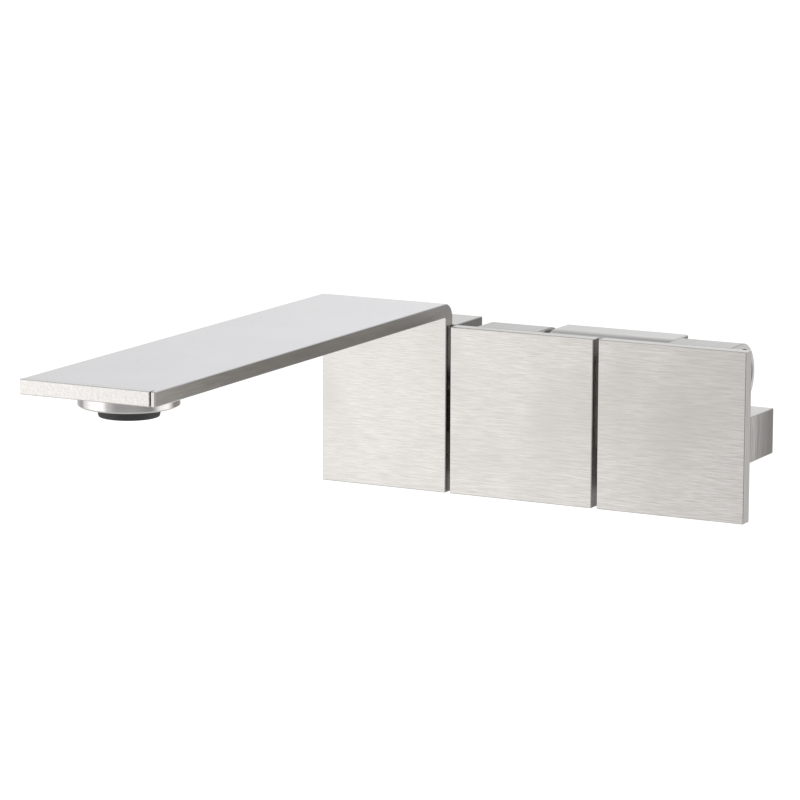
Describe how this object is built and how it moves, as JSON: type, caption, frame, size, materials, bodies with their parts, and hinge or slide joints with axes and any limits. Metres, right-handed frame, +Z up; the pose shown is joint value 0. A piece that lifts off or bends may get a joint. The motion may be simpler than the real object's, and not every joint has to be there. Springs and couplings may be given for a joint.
{
  "type": "wall mounted bath faucet",
  "caption": "Wall mounted bath faucet: a folded flat-bar spout beside square flap handles that swing up on round hubs, carried by a slim wall rail, with ceramic cartridges and an aerator.",
  "frame": {"origin": "middle of the wall plate's four screw holes, on the wall plane", "axes": "+Z up, +Y into the wall, -Y along the spout into the room, +X to the right as a user faces the faucet"},
  "size_m": [0.1642, 0.23, 0.0681],
  "materials": {
    "brushed_steel": "fine straight brushed stainless steel",
    "plate_steel": "plain mill-finish stainless sheet",
    "screw_steel": "machined stainless socket screws",
    "screen_steel": "woven stainless wire",
    "brass": "machined brass",
    "ceramic": "lapped alumina discs",
    "rubber": "matt black seal rubber",
    "dark_plastic": "dark grey ribbed plastic",
    "pale_plastic": "pale moulded plastic",
    "slide_plastic": "dark low-friction plastic"
  },
  "bodies": {
    "root": {"aerator_collar": "brushed_steel", "aerator_housing": "dark_plastic", "aerator_insert": "pale_plastic", "aerator_screen": "screen_steel", "aerator_washer": "rubber", "cold_base_seal": "rubber", "cold_cartridge_nut": "brass", "cold_cartridge_sleeve": "brass", "cold_fixed_disc": "ceramic", "cold_thrust_washer": "slide_plastic", "hot_base_seal": "rubber", "hot_cartridge_nut": "brass", "hot_cartridge_sleeve": "brass", "hot_fixed_disc": "ceramic", "hot_thrust_washer": "slide_plastic", "rail_grub_screws": "screw_steel", "rail_plug": "brass", "rail_seals": "rubber", "rest_bumpers": "rubber", "spout": "brushed_steel", "spout_box": "brushed_steel", "spout_box_screws": "screw_steel", "spout_end_cap": "brushed_steel", "spout_screws": "screw_steel", "spout_seal": "rubber", "valve_body": "brushed_steel", "valve_body_screws": "screw_steel", "wall_plate": "plate_steel", "wall_rail": "brushed_steel"},
    "hot_handle": {"hot_moving_disc": "ceramic", "hot_stem": "brass", "hot_stem_seals": "rubber", "hot_handle_hub": "brushed_steel", "hot_hub_screw": "screw_steel", "hot_hub_cap": "brushed_steel", "hot_handle_plate": "brushed_steel", "hot_plate_screws": "screw_steel"},
    "cold_handle": {"cold_moving_disc": "ceramic", "cold_stem": "brass", "cold_stem_seals": "rubber", "cold_handle_hub": "brushed_steel", "cold_hub_screw": "screw_steel", "cold_hub_cap": "brushed_steel", "cold_handle_plate": "brushed_steel", "cold_plate_screws": "screw_steel"}
  },
  "joints": [
    {"name": "hot_flap", "type": "hinge", "parent": "root", "child": "hot_handle", "pos_m": [-0.011, -0.0135, 0.0285], "axis": [-1, 0, 0], "range_deg": [0, 90]},
    {"name": "cold_flap", "type": "hinge", "parent": "root", "child": "cold_handle", "pos_m": [0.0623, -0.0135, 0.0285], "axis": [-1, 0, 0], "range_deg": [0, 90]}
  ]
}
